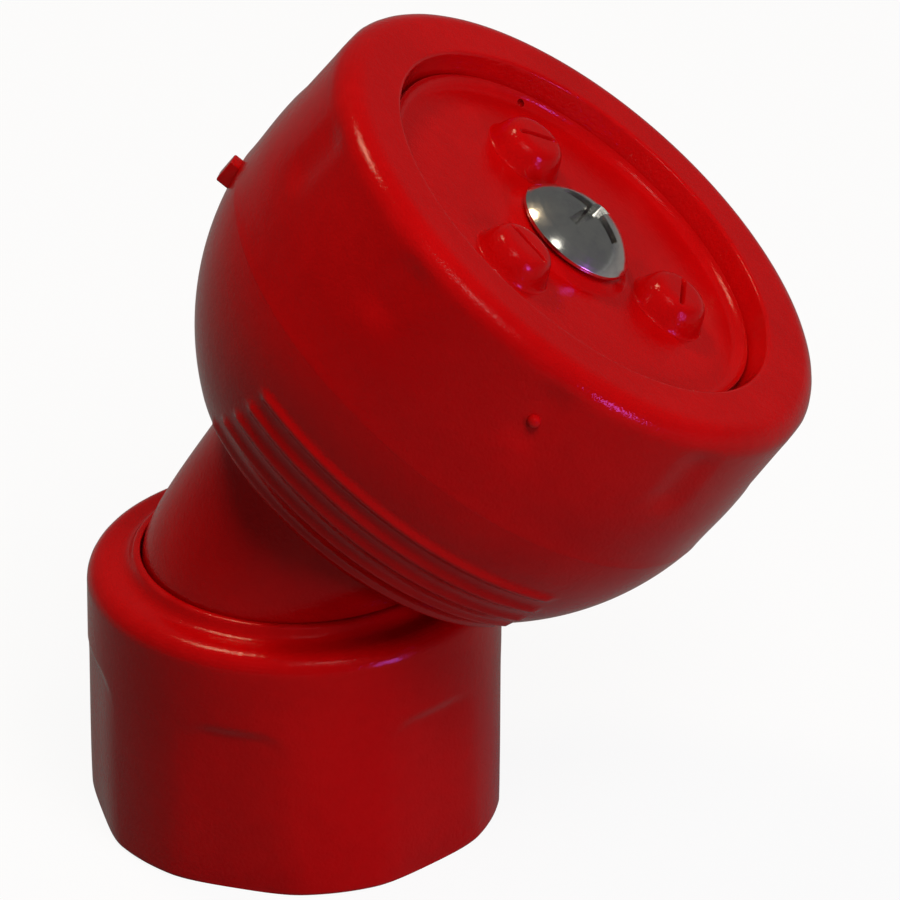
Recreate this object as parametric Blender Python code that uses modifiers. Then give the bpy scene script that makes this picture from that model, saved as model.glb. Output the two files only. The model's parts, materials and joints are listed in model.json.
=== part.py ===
# Swivel spray head: coupling nut, angled elbow with a ball-shaped cup, screw cap and face plate.
# Metres, +Z up. Origin: centre of the nut's open end. +X is the side that the head leans to.
import math

import bmesh
import bpy
from mathutils import Matrix, Vector

# Clearances
GAP = 0.0003              # between pieces that touch
NECK_CLEAR = 0.00035      # neck in the nut's hole, on the radius
TOP_CLEAR = 0.0005        # neck shoulder over the nut's top
HEAD_CLEAR = 0.0006       # cup floor over the nut's rounded edge
THREAD_CLEAR = 0.00045    # cap over the cup's spigot, on the radius
SLIDE_CLEAR = 0.00025     # plug stem in its guide, each side
STOP_CLEAR = 0.0006       # pieces at the ends of their travel
SCREW_CLEAR = 0.0006      # screw in the plate's hole, on the radius
CUT_PAST = 0.0020         # cutters run this far past what they cut
BITE = 0.0010             # joined shapes sink this far into each other

# Coupling nut
NUT_RADIUS = 0.0165
NUT_EDGE_ROUND = 0.0016
NUT_FOOT_CHAMFER = 0.0004
NUT_TOP_WALL = 0.0054
NUT_WALL = 0.0031
NUT_LEDGE = 0.00095
NUT_LIP_ROUND = 0.0008
FLAT_COUNT = 6
FLAT_TOP_DEPTH = 0.00046
FLAT_FOOT_DEPTH = 0.00070
FLAT_HEIGHT = 0.0145
FLAT_CORNER_ROUND = 0.0038
FLAT_PHASE = math.radians(-10.3)
THREAD_RELIEF = 0.00018
THREAD_DEPTH = 0.00116
THREAD_PITCH = 0.001814
THREAD_TURNS = 5
THREAD_MOUTH = 0.0005

# Pieces held in the nut
GASKET_THICK = 0.0026
GASKET_CLEAR = 0.0005
GASKET_GRIP = 0.0008
RING_THICK = 0.0008
RING_DEPTH = 0.0009
RING_SLIT = 0.002
WASHER_THICK = 0.0006
NECK_FOOT = 0.0005
ORING_DEPTH = 0.0014
ORING_WIRE = 0.00057
STRAINER_FLANGE = 0.0010
STRAINER_LEDGE = 0.0013
STRAINER_LENGTH = 0.0055
STRAINER_WALL = 0.0008
STRAINER_BAND = 0.0016
STRAINER_SLOT = 0.0011
STRAINER_SLOTS = 4

# Elbow
TILT = math.radians(36.8)
NECK_RISE = 0.0009
NECK_WALL = 0.0016
NECK_TOP_RADIUS = 0.01195
NECK_PULL = 0.5           # share of the bend's length that goes into its upright end
BORE_LAND = 0.0010
BORE_STEP = 0.0005

# Cup and cap
HEAD_RADIUS = 0.0235
SEAM_STEP = 0.0001
CUP_FLOOR_RADIUS = 0.01575
CUP_FLOOR_WALL = 0.0028
CUP_WALL = 0.0028
CUP_SEAM_DROP = 0.0026
CUP_LEDGE = 0.0009
FLOOR_SLOPE = math.radians(39.0)
RIB_COUNT = 5
RIB_PITCH = 0.00205
RIB_FIRST_DROP = 0.0079
RIB_WIDTH = 0.0011
RIB_CREST = 0.00077
RIB_HEIGHT = 0.00042
RIB_HALF_SPAN = 0.0139
TAB_DROP = 0.0002
TAB_LENGTH = 0.0021
TAB_WIDTH = 0.0016
TAB_HEIGHT = 0.0006
TAB_PHASE = math.radians(-96.0)
FACE_RISE = 0.0120
CAP_DRAFT = 0.0004
CAP_WALL = 0.00275
RIM_ROUND = 0.0020
LIP_RADIUS = 0.0179
LIP_DRAFT = 0.0007
LIP_ROUND = 0.0009
LIP_DEPTH = 0.0025
CAP_LIFT = 0.0030
FLUTE_COUNT = 10
FLUTE_RADIUS = 0.0060
FLUTE_DEPTH = 0.00045
FLUTE_BOTTOM = 0.0045
FLUTE_TOP = 0.0108
FLUTE_PHASE = math.radians(5.0)
PIP_RADIUS = 0.00055
PIP_RISE = 0.0066

# Face plate and outlets
PLATE_THICK = 0.0029
BOSS_RADIUS = 0.0046
BOSS_HEIGHT = 0.0007
SEAL_THICK = 0.0010
JET_CIRCLE = 0.0097
JET_PHASE = math.radians(-26.0)
JET_COUNT = 3
JET_RIM_RADIUS = 0.0031
JET_ROUND = 0.0012
JET_HEIGHT = 0.0022
JET_SHANK_RADIUS = 0.0020
JET_TAIL = 0.0004
JET_BORE = 0.0004
JET_SLIT_WIDTH = 0.0005
JET_SLIT_LENGTH = 0.0054
JET_SLIT_DEPTH = 0.0008

# Screw, plug and seat
SCREW_HEAD_RADIUS = 0.0050
SCREW_HEAD_HEIGHT = 0.0026
SCREW_RIM = 0.0003
SCREW_RADIUS = 0.00235
SCREW_TIP_DROP = 0.0055
CROSS_WIDTH = 0.0011
CROSS_SPAN = 0.0070
CROSS_DEPTH = 0.0015
CROSS_PHASE = math.radians(-26.0)
GLAND_DEPTH = 0.00135
SCREW_RING_WIRE = 0.00055
CLIP_THICK = 0.0007
CLIP_GROOVE = 0.0005
CLIP_WIDTH = 0.0022
SEAT_PROUD = 0.0009
SEAT_SINK = 0.0021
SEAT_RADIUS = 0.0096
SEAT_BORE = 0.0062
PAD_RADIUS = 0.0074
PAD_THICK = 0.0016
PLUG_RADIUS = 0.0076
PLUG_THICK = 0.0022
PLUG_OPENING = 0.0022
STEM_SIDE = 0.0066
STEM_FLOOR = 0.0010
HUB_RADIUS = 0.0068
HUB_ROOM = 0.0031
SPIDER_RING = 0.0028
SPIDER_THICK = 0.0020
SPOKE_WIDTH = 0.0030
SPOKE_ROOT = 0.0017
SPOKE_COUNT = 3

# Facets round a turned piece, and steps along an arc
FINE = 44
PLAIN = 28
SMALL = 16
WIRE_STEPS = 6
EDGE_STEPS = 4
DOME_STEPS = 6
BALL_STEPS = 12
BEND_STEPS = 8

# Levels in the nut, from its open end
thread_top = THREAD_MOUTH + THREAD_TURNS * THREAD_PITCH
relief_start = thread_top + THREAD_MOUTH
gasket_low = relief_start + GAP
gasket_high = gasket_low + GASKET_THICK
neck_low = gasket_high + GAP
groove_low = neck_low + NECK_FOOT
ring_low = groove_low + GAP
ring_high = ring_low + RING_THICK
washer_low = ring_high + GAP
washer_high = washer_low + WASHER_THICK
nut_shoulder = washer_high + GAP
nut_height = nut_shoulder + NUT_TOP_WALL
neck_shoulder = nut_height + TOP_CLEAR
bend_height = nut_height + NECK_RISE

# Radii in the nut and the neck
relief_radius = NUT_RADIUS - NUT_WALL
thread_root = relief_radius - THREAD_RELIEF
thread_crest = thread_root - THREAD_DEPTH
nut_hole = relief_radius - NUT_LEDGE
neck_radius = nut_hole - NECK_CLEAR
inlet_pocket = neck_radius - RING_DEPTH - NECK_WALL
flange_radius = inlet_pocket - GAP
inlet_radius = flange_radius - STRAINER_LEDGE
outlet_radius = inlet_radius - BORE_STEP

# Levels on the head axis, from the ball's centre
ball_radius = HEAD_RADIUS - SEAM_STEP
cup_drop = math.sqrt(ball_radius ** 2 - CUP_FLOOR_RADIUS ** 2)
nut_reach = (NUT_RADIUS - NUT_EDGE_ROUND) * math.sin(TILT) + NUT_EDGE_ROUND
nut_reach -= (NECK_RISE + NUT_EDGE_ROUND) * math.cos(TILT)
head_reach = nut_reach + HEAD_CLEAR + cup_drop
plate_top = FACE_RISE - LIP_DEPTH
plate_low = plate_top - PLATE_THICK
boss_top = plate_top + BOSS_HEIGHT
lip_low = plate_top + GAP
seal_high = plate_low - GAP
seal_low = seal_high - SEAL_THICK
cup_rim = seal_low - GAP
cup_seam = -CUP_SEAM_DROP
cap_low = cup_seam + GAP
cup_floor = -cup_drop + CUP_FLOOR_WALL
seat_top = cup_floor + SEAT_PROUD
seat_low = cup_floor - SEAT_SINK
pad_low = seat_top + GAP + PLUG_OPENING
pad_high = pad_low + PAD_THICK
plug_low = pad_high + GAP
plug_high = plug_low + PLUG_THICK
hub_low = plug_high + CAP_LIFT + STOP_CLEAR
ledge = hub_low - GAP
clip_high = plate_low - GAP
clip_low = clip_high - CLIP_THICK
stem_high = clip_low - STOP_CLEAR
hub_high = clip_low - HUB_ROOM
screw_seat = boss_top + GAP
screw_tip = -SCREW_TIP_DROP

# Radii on the head axis
cap_bore = HEAD_RADIUS - CAP_WALL
spigot_radius = cap_bore - THREAD_CLEAR
chamber_radius = spigot_radius - CUP_WALL
lower_radius = chamber_radius - CUP_LEDGE
plate_radius = cap_bore - THREAD_CLEAR
plate_bore = SCREW_RADIUS + SCREW_CLEAR
gland_radius = plate_bore + GLAND_DEPTH
lip_inner = LIP_RADIUS - LIP_DRAFT

for old in list(bpy.data.objects):
    bpy.data.objects.remove(old, do_unlink=True)


def new_collection(name):
    group = bpy.data.collections.new(name)
    bpy.context.scene.collection.children.link(group)
    return group


model = new_collection("swivel_spray_head")
cutters = new_collection("cutters")


def finish(name, color, roughness, metallic=0.0):
    mat = bpy.data.materials.new(name)
    mat.use_nodes = True
    shader = mat.node_tree.nodes["Principled BSDF"]
    shader.inputs["Base Color"].default_value = (*color, 1.0)
    shader.inputs["Roughness"].default_value = roughness
    shader.inputs["Metallic"].default_value = metallic
    return mat


red_plastic = finish("red_plastic", (0.55, 0.004, 0.006), 0.28)
black_rubber = finish("black_rubber", (0.02, 0.02, 0.02), 0.7)
white_plastic = finish("white_plastic", (0.75, 0.74, 0.70), 0.45)
bright_steel = finish("bright_steel", (0.62, 0.62, 0.60), 0.18, 1.0)
yellow_brass = finish("yellow_brass", (0.72, 0.52, 0.22), 0.3, 1.0)

# The head's frame: its +Z is the head axis, its origin is the ball's centre
head_frame = bpy.data.objects.new("head_frame", None)
ball_centre = Vector((math.sin(TILT) * head_reach, 0.0, bend_height + math.cos(TILT) * head_reach))
head_place = Matrix.Translation(ball_centre) @ Matrix.Rotation(TILT, 4, "Y")
head_frame.matrix_world = head_place
model.objects.link(head_frame)


def add_object(name, mesh, mat, frame=None, place=(0.0, 0.0, 0.0)):
    obj = bpy.data.objects.new(name, mesh)
    obj.parent = frame
    obj.location = place
    if mat is None:
        cutters.objects.link(obj)
        obj.hide_render = True
        obj.display_type = "WIRE"
    else:
        model.objects.link(obj)
        mesh.materials.append(mat)
    return obj


# A piece turned about its own Z axis. The profile runs down its outer side; a ring's profile is closed.
def turned(name, profile, mat=None, ring=True, steps=PLAIN, frame=None, place=(0.0, 0.0, 0.0)):
    mesh = bpy.data.meshes.new(name)
    edges = [(i, i + 1) for i in range(len(profile) - 1)]
    if ring:
        edges.append((len(profile) - 1, 0))
    mesh.from_pydata([(r, 0.0, z) for r, z in profile], edges, [])
    obj = add_object(name, mesh, mat, frame, place)
    screw = obj.modifiers.new("turn", "SCREW")
    screw.axis = "Z"
    screw.angle = math.tau
    screw.steps = steps
    screw.render_steps = steps
    screw.use_merge_vertices = True
    screw.merge_threshold = 0.00001
    screw.use_smooth_shade = True
    return obj


def about(axis, turn):
    return Matrix.Rotation(turn, 3, axis)


# Boxes given as (size, centre, turn about Z), kept as bodies of one mesh
def blocks(name, boxes, mat=None, frame=None, place=(0.0, 0.0, 0.0)):
    mesh = bpy.data.meshes.new(name)
    bm = bmesh.new()
    for size, centre, turn in boxes:
        made = bmesh.ops.create_cube(bm, size=1.0)["verts"]
        bmesh.ops.scale(bm, vec=size, verts=made)
        bmesh.ops.translate(bm, vec=centre, verts=made)
        bmesh.ops.rotate(bm, cent=(0.0, 0.0, 0.0), matrix=about("Z", turn), verts=made)
    bm.to_mesh(mesh)
    bm.free()
    return add_object(name, mesh, mat, frame, place)


def combine(obj, tool, operation):
    mod = obj.modifiers.new(operation.lower() + "_" + tool.name, "BOOLEAN")
    mod.operation = operation
    mod.object = tool
    mod.solver = "EXACT"


def arc(centre_r, centre_z, radius, start, end, count):
    points = []
    for i in range(count + 1):
        angle = start + (end - start) * i / count
        points.append((centre_r + radius * math.cos(angle), centre_z + radius * math.sin(angle)))
    return points


def flat_ring(inner, outer, low, high):
    return [(inner, high), (outer, high), (outer, low), (inner, low)]


def wire_ring(radius, wire, level):
    return arc(radius, level, wire, math.pi, -math.pi, WIRE_STEPS)[:-1]


# Angle round an axis, measured from -Y towards +X
def facing(angle, radius):
    return radius * math.sin(angle), -radius * math.cos(angle)


# Coupling nut: a turned shell with thread rings, then six flats with rounded upper corners
def make_nut():
    edge = NUT_RADIUS - NUT_EDGE_ROUND
    lip = nut_hole + NUT_LIP_ROUND
    profile = [(lip, nut_height)]
    profile += arc(edge, nut_height - NUT_EDGE_ROUND, NUT_EDGE_ROUND, math.pi / 2, 0.0, EDGE_STEPS)
    profile += [(NUT_RADIUS, NUT_FOOT_CHAMFER), (NUT_RADIUS - NUT_FOOT_CHAMFER, 0.0)]
    profile += [(thread_root + THREAD_MOUTH, 0.0), (thread_root, THREAD_MOUTH)]
    for i in range(THREAD_TURNS):
        start = THREAD_MOUTH + i * THREAD_PITCH
        profile += [(thread_crest, start + THREAD_PITCH / 2)]
        profile += [(thread_root, start + THREAD_PITCH)]
    profile += [(relief_radius, relief_start), (relief_radius, nut_shoulder)]
    profile += [(nut_hole, nut_shoulder)]
    lip_arc = arc(lip, nut_height - NUT_LIP_ROUND, NUT_LIP_ROUND, math.pi, math.pi / 2, EDGE_STEPS)
    nut = turned("collar_nut", profile + lip_arc[:-1], red_plastic, steps=FINE)
    combine(nut, nut_flats(), "DIFFERENCE")


# Blocks that cut the flats, leaning in towards the nut's foot, with rounded upper corners
def nut_flats():
    top_reach = NUT_RADIUS - FLAT_TOP_DEPTH
    lean = math.atan2(FLAT_FOOT_DEPTH - FLAT_TOP_DEPTH, FLAT_HEIGHT)
    half_chord = math.sqrt(NUT_RADIUS ** 2 - (NUT_RADIUS - FLAT_FOOT_DEPTH) ** 2)
    size = (2 * (half_chord + GAP), FLAT_FOOT_DEPTH + CUT_PAST, FLAT_HEIGHT + CUT_PAST)
    centre = (0.0, -top_reach - size[1] / 2, FLAT_HEIGHT - size[2] / 2)
    mesh = bpy.data.meshes.new("nut_flats")
    bm = bmesh.new()
    for i in range(FLAT_COUNT):
        made = bmesh.ops.create_cube(bm, size=1.0)["verts"]
        bmesh.ops.scale(bm, vec=size, verts=made)
        bmesh.ops.translate(bm, vec=centre, verts=made)
        upper = [v for v in made if v.co.z > centre[2]]
        rims = {e for v in upper for e in v.link_edges if all(w in upper for w in e.verts)}
        rims = [e for e in rims if abs(e.verts[0].co.x - e.verts[1].co.x) < GAP]
        corners = bmesh.ops.bevel(bm, geom=rims, offset=FLAT_CORNER_ROUND, segments=EDGE_STEPS, profile=0.5,
                                  affect="EDGES", material=-1)
        block = list({v for v in made if v.is_valid} | set(corners["verts"]))
        bmesh.ops.rotate(bm, cent=(0.0, -top_reach, FLAT_HEIGHT), matrix=about("X", lean), verts=block)
        turn = FLAT_PHASE + math.tau * i / FLAT_COUNT
        bmesh.ops.rotate(bm, cent=(0.0, 0.0, 0.0), matrix=about("Z", turn), verts=block)
    bm.to_mesh(mesh)
    bm.free()
    return add_object("nut_flats", mesh, None)


# Rings between the nut and the neck
def make_nut_rings():
    bore = flange_radius - GASKET_GRIP
    gasket = flat_ring(bore, relief_radius - GASKET_CLEAR, gasket_low, gasket_high)
    turned("pipe_gasket", gasket, black_rubber)
    inner = neck_radius - RING_DEPTH + GAP
    outer = relief_radius - GAP
    ring = turned("lock_ring", flat_ring(inner, outer, ring_low, ring_high), bright_steel)
    size = (outer, RING_SLIT, RING_THICK + 2 * CUT_PAST)
    slit = blocks("lock_ring_slit", [(size, (-outer, 0.0, (ring_low + ring_high) / 2), 0.0)])
    combine(ring, slit, "DIFFERENCE")
    washer = flat_ring(neck_radius + GAP, outer, washer_low, washer_high)
    turned("slip_washer", washer, white_plastic)
    middle = nut_shoulder + NUT_TOP_WALL / 2
    seat = neck_radius - ORING_DEPTH + GAP + ORING_WIRE
    turned("neck_o_ring", wire_ring(seat, ORING_WIRE, middle), black_rubber)


# Slotted thimble in the neck's inlet
def make_strainer():
    tube = inlet_radius - GAP
    low = neck_low + GAP
    flange = low + STRAINER_FLANGE
    top = flange + STRAINER_LENGTH
    profile = [(0.0, top), (tube, top), (tube, flange), (flange_radius, flange)]
    profile += [(flange_radius, low), (tube - STRAINER_WALL, low)]
    profile += [(tube - STRAINER_WALL, top - STRAINER_WALL), (0.0, top - STRAINER_WALL)]
    strainer = turned("inlet_strainer", profile, white_plastic, ring=False, steps=PLAIN)
    height = STRAINER_LENGTH - STRAINER_WALL - STRAINER_BAND
    centre = (0.0, 0.0, top - STRAINER_BAND - height / 2)
    for i in range(STRAINER_SLOTS):
        slot = ((2 * (tube + CUT_PAST), STRAINER_SLOT, height), centre, math.pi * i / STRAINER_SLOTS)
        combine(strainer, blocks("strainer_slot_%d" % (i + 1), [slot]), "DIFFERENCE")


# A ring of points about the nut's axis, or about the head axis
def ring_at(radius, level, place=Matrix()):
    points = []
    for i in range(FINE):
        angle = math.tau * i / FINE
        points.append(place @ Vector((radius * math.cos(angle), radius * math.sin(angle), level)))
    return points


# Rings that lead from one ring to another and end upright
def bend(first, last):
    rings = []
    for step in range(1, BEND_STEPS):
        t = step / BEND_STEPS
        ring = []
        for a, b in zip(first, last):
            chord = b - a
            pull = Vector((0.0, 0.0, NECK_PULL * chord.length))
            ring.append(a + chord * (t + t ** 2 - t ** 3) + pull * (t ** 2 - t ** 3))
        rings.append(ring)
    return rings


# Ball-shaped cup, bent neck and its grooved foot, as one closed chain of rings
def make_elbow():
    groove_floor = neck_radius - RING_DEPTH
    groove_high = ring_high + GAP
    seal_floor = neck_radius - ORING_DEPTH
    middle = nut_shoulder + NUT_TOP_WALL / 2
    half = ORING_WIRE + GAP
    foot = [(neck_radius, neck_low), (neck_radius, groove_low), (groove_floor, groove_low)]
    foot += [(groove_floor, groove_high), (neck_radius, groove_high), (neck_radius, middle - half)]
    foot += [(seal_floor, middle - half), (seal_floor, middle + half), (neck_radius, middle + half)]
    foot += [(neck_radius, neck_shoulder)]
    seam_radius = math.sqrt(ball_radius ** 2 - cup_seam ** 2)
    first = math.atan2(-cup_drop, CUP_FLOOR_RADIUS)
    last = math.atan2(cup_seam, seam_radius)
    cone_foot = SEAT_RADIUS + CUP_LEDGE
    cone_rise = (lower_radius - cone_foot) * math.tan(FLOOR_SLOPE)
    pocket = SEAT_RADIUS + GAP
    pocket_low = seat_low - GAP
    cup = [(NECK_TOP_RADIUS, -cup_drop)] + arc(0.0, 0.0, ball_radius, first, last, BALL_STEPS)
    cup += [(spigot_radius, cup_seam), (spigot_radius, cup_rim), (chamber_radius, cup_rim)]
    cup += [(chamber_radius, ledge), (lower_radius, ledge), (lower_radius, cup_floor + cone_rise)]
    cup += [(cone_foot, cup_floor), (pocket, cup_floor), (pocket, pocket_low)]
    cup += [(outlet_radius, pocket_low), (outlet_radius, pocket_low - BORE_LAND)]
    step = neck_low + STRAINER_FLANGE + 2 * GAP
    inlet = [(inlet_radius, neck_shoulder), (inlet_radius, step)]
    inlet += [(inlet_pocket, step), (inlet_pocket, neck_low)]
    foot = [ring_at(*row) for row in foot]
    cup = [ring_at(*row, head_place) for row in cup]
    inlet = [ring_at(*row) for row in inlet]
    outside = bend(cup[0], foot[-1])
    rings = foot + outside[::-1] + cup + bend(cup[-1], inlet[0]) + inlet
    mesh = bpy.data.meshes.new("elbow_body")
    bm = bmesh.new()
    rows = [[bm.verts.new(point) for point in ring] for ring in rings]
    for k, row in enumerate(rows):
        above = rows[(k + 1) % len(rows)]
        for i in range(FINE):
            j = (i + 1) % FINE
            bm.faces.new((row[i], row[j], above[j], above[i]))
    bmesh.ops.recalc_face_normals(bm, faces=bm.faces)
    bm.to_mesh(mesh)
    bm.free()
    elbow = add_object("elbow_body", mesh, red_plastic)
    combine(elbow, index_tab(), "UNION")
    combine(elbow, grip_ribs(), "UNION")


# Straight-ended grip ribs on the two sides of the cup
def grip_ribs():
    profile = []
    sink = BITE
    foot = RIB_WIDTH / 2
    crest = RIB_CREST / 2
    for i in range(RIB_COUNT):
        level = -RIB_FIRST_DROP - i * RIB_PITCH
        for offset, rise in ((foot, -sink), (crest, RIB_HEIGHT), (-crest, RIB_HEIGHT), (-foot, -sink)):
            z = level + offset
            radius = ball_radius + rise
            profile.append((math.sqrt(radius ** 2 - z ** 2), z))
    low = profile[-1]
    high = profile[0]
    core = RIB_WIDTH + sink
    profile += [(low[0] - core, low[1]), (high[0] - core, high[1])]
    ribs = turned("grip_ribs", profile, steps=FINE, frame=head_frame)
    past = 2 * (HEAD_RADIUS + CUT_PAST)
    span = (2 * RIB_HALF_SPAN, past, past)
    slab = blocks("rib_slab", [(span, (0.0, 0.0, 0.0), 0.0)], frame=head_frame)
    combine(ribs, slab, "INTERSECT")
    return ribs


# Small tab on the back of the cup, just under the seam
def index_tab():
    drop = CUP_SEAM_DROP + TAB_DROP + TAB_LENGTH / 2
    depth = TAB_HEIGHT + 2 * BITE
    centre = (-(ball_radius + TAB_HEIGHT) + depth / 2, 0.0, -drop)
    turn = TAB_PHASE + math.pi / 2
    return blocks("index_tab", [((depth, TAB_WIDTH, TAB_LENGTH), centre, turn)], frame=head_frame)


# Screw cap: its lip holds the face plate, its side has shallow grip flutes
def make_cap():
    top_radius = HEAD_RADIUS - CAP_DRAFT
    edge = top_radius - RIM_ROUND
    profile = arc(edge, FACE_RISE - RIM_ROUND, RIM_ROUND, math.pi / 2, 0.0, EDGE_STEPS)
    profile += [(HEAD_RADIUS, cap_low), (cap_bore, cap_low), (cap_bore, lip_low), (lip_inner, lip_low)]
    profile += arc(LIP_RADIUS + LIP_ROUND, FACE_RISE - LIP_ROUND, LIP_ROUND, math.pi, math.pi / 2, EDGE_STEPS)
    cap = turned("face_cap", profile, red_plastic, steps=FINE, frame=head_frame)
    combine(cap, flutes(), "DIFFERENCE")
    side, front = facing(FLUTE_PHASE, HEAD_RADIUS - CAP_DRAFT - FLUTE_DEPTH)
    mesh = bpy.data.meshes.new("cap_pip")
    bm = bmesh.new()
    bmesh.ops.create_uvsphere(bm, u_segments=SMALL, v_segments=WIRE_STEPS, radius=PIP_RADIUS)
    bm.to_mesh(mesh)
    bm.free()
    pip = add_object("cap_pip", mesh, None, head_frame, (side, front, PIP_RISE))
    combine(cap, pip, "UNION")


# Round-ended cutters, laid evenly round the cap
def flutes():
    mesh = bpy.data.meshes.new("cap_flutes")
    bm = bmesh.new()
    reach = HEAD_RADIUS - CAP_DRAFT / 2 - FLUTE_DEPTH + FLUTE_RADIUS
    end_round = math.sqrt(FLUTE_RADIUS * FLUTE_DEPTH)
    for i in range(FLUTE_COUNT):
        side, front = facing(FLUTE_PHASE + math.tau * i / FLUTE_COUNT, reach)
        made = bmesh.ops.create_cone(bm, cap_ends=True, segments=PLAIN, depth=FLUTE_TOP - FLUTE_BOTTOM,
                                     radius1=FLUTE_RADIUS, radius2=FLUTE_RADIUS)["verts"]
        rims = {e for v in made for e in v.link_edges}
        rims = [e for e in rims if abs(e.verts[0].co.z - e.verts[1].co.z) < GAP]
        soft = bmesh.ops.bevel(bm, geom=rims, offset=end_round, segments=EDGE_STEPS, profile=0.5,
                               affect="EDGES", material=-1)
        every = list({v for v in made if v.is_valid} | set(soft["verts"]))
        bmesh.ops.translate(bm, vec=(side, front, (FLUTE_TOP + FLUTE_BOTTOM) / 2), verts=every)
    bm.to_mesh(mesh)
    bm.free()
    return add_object("cap_flutes", mesh, None, head_frame)


# Face plate with a centre boss, a gland for the screw's ring and seats for the outlets
def make_plate():
    gland_low = plate_low + PLATE_THICK / 2 - SCREW_RING_WIRE - GAP
    gland_high = plate_low + PLATE_THICK / 2 + SCREW_RING_WIRE + GAP
    profile = [(BOSS_RADIUS, boss_top), (BOSS_RADIUS + GAP, plate_top), (plate_radius, plate_top)]
    profile += [(plate_radius, plate_low), (plate_bore, plate_low), (plate_bore, gland_low)]
    profile += [(gland_radius, gland_low), (gland_radius, gland_high), (plate_bore, gland_high)]
    profile += [(plate_bore, boss_top)]
    plate = turned("nozzle_plate", profile, red_plastic, steps=FINE, frame=head_frame)
    seal = flat_ring(chamber_radius + GAP, spigot_radius - GAP, seal_low, seal_high)
    turned("plate_seal", seal, black_rubber, frame=head_frame)
    ring_seat = SCREW_RADIUS + GAP + SCREW_RING_WIRE
    turned("screw_o_ring", wire_ring(ring_seat, SCREW_RING_WIRE, plate_low + PLATE_THICK / 2), black_rubber,
           steps=PLAIN, frame=head_frame)
    jet_seat = plate_top + GAP
    jet_top = jet_seat + JET_HEIGHT
    tail = plate_low - JET_TAIL
    jet = [(JET_BORE, jet_top)]
    jet += arc(JET_RIM_RADIUS - JET_ROUND, jet_top - JET_ROUND, JET_ROUND, math.pi / 2, 0.0, EDGE_STEPS)
    jet += [(JET_RIM_RADIUS, jet_seat), (JET_SHANK_RADIUS, jet_seat)]
    jet += [(JET_SHANK_RADIUS, tail), (JET_BORE, tail)]
    hole_radius = JET_SHANK_RADIUS + GAP
    hole = [(0.0, jet_seat), (hole_radius, jet_seat), (hole_radius, tail), (0.0, tail)]
    for i in range(JET_COUNT):
        angle = JET_PHASE + math.tau * i / JET_COUNT
        side, front = facing(angle, JET_CIRCLE)
        place = (side, front, 0.0)
        nozzle = turned("jet_nozzle_%d" % (i + 1), jet, red_plastic, steps=SMALL, frame=head_frame,
                        place=place)
        size = (JET_SLIT_WIDTH, JET_SLIT_LENGTH, 2 * JET_SLIT_DEPTH)
        slit = [(size, (0.0, 0.0, jet_top), angle - math.pi / 2)]
        combine(nozzle, blocks("jet_slit_%d" % (i + 1), slit, frame=head_frame, place=place), "DIFFERENCE")
        cutter = turned("jet_hole_%d" % (i + 1), hole, ring=False, steps=SMALL, frame=head_frame, place=place)
        combine(plate, cutter, "DIFFERENCE")


# Round-head screw with a cross recess, and the clip that keeps it in the plate
def make_screw():
    rim = screw_seat + SCREW_RIM
    rise = SCREW_HEAD_HEIGHT - SCREW_RIM
    crown = (SCREW_HEAD_RADIUS ** 2 + rise ** 2) / (2 * rise)
    centre = rim + rise - crown
    start = math.asin((rim - centre) / crown)
    groove = SCREW_RADIUS - CLIP_GROOVE
    profile = arc(0.0, centre, crown, math.pi / 2, start, DOME_STEPS)
    profile[0] = (0.0, centre + crown)
    profile += [(SCREW_HEAD_RADIUS, screw_seat), (SCREW_RADIUS, screw_seat)]
    profile += [(SCREW_RADIUS, clip_high + GAP), (groove, clip_high + GAP)]
    profile += [(groove, clip_low - GAP), (SCREW_RADIUS, clip_low - GAP)]
    profile += [(SCREW_RADIUS, screw_tip + CLIP_GROOVE), (groove, screw_tip), (0.0, screw_tip)]
    screw = turned("centre_screw", profile, bright_steel, ring=False, steps=PLAIN, frame=head_frame)
    top = screw_seat + SCREW_HEAD_HEIGHT
    size = (CROSS_SPAN, CROSS_WIDTH, 2 * CROSS_DEPTH)
    for i in range(2):
        bar = (size, (0.0, 0.0, top), CROSS_PHASE + math.pi / 2 * i)
        combine(screw, blocks("cross_bar_%d" % (i + 1), [bar], frame=head_frame), "DIFFERENCE")
    inner = groove + GAP
    clip = turned("screw_clip", flat_ring(inner, inner + CLIP_WIDTH, clip_low, clip_high), bright_steel,
                  steps=PLAIN, frame=head_frame)
    reach = inner + CLIP_WIDTH + CUT_PAST
    mouth = (reach, 2 * groove, CLIP_THICK + 2 * CUT_PAST)
    gap_box = (mouth, (reach / 2, 0.0, (clip_low + clip_high) / 2), 0.0)
    combine(clip, blocks("clip_mouth", [gap_box], frame=head_frame), "DIFFERENCE")


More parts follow.
